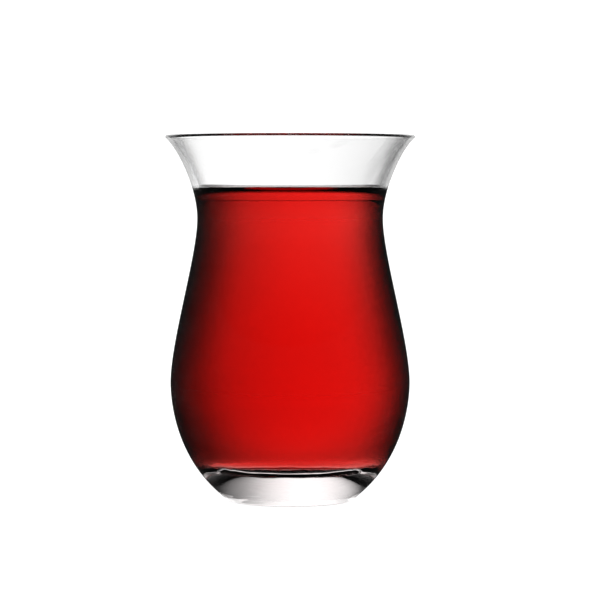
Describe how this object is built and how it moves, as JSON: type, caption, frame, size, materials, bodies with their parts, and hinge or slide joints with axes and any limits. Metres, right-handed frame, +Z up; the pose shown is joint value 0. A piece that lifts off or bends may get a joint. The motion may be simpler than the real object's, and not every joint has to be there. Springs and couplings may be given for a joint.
{
  "type": "turkish tea glass",
  "caption": "Tulip-shaped clear glass on a thick rounded base, waisted below a flared lip, filled with black tea nearly to the brim.",
  "frame": {"origin": "on the glass's axis, at the height of the flat ring that it stands on", "axes": "+Z up along the glass's axis; X and Y are free, because the glass is round"},
  "size_m": [0.0612, 0.0612, 0.09],
  "materials": {
    "clear_glass": "clear, colourless and polished",
    "black_tea": "clear deep red liquid with a still surface"
  },
  "bodies": {
    "root": {"glass": "clear_glass", "tea": "black_tea"}
  },
  "joints": []
}
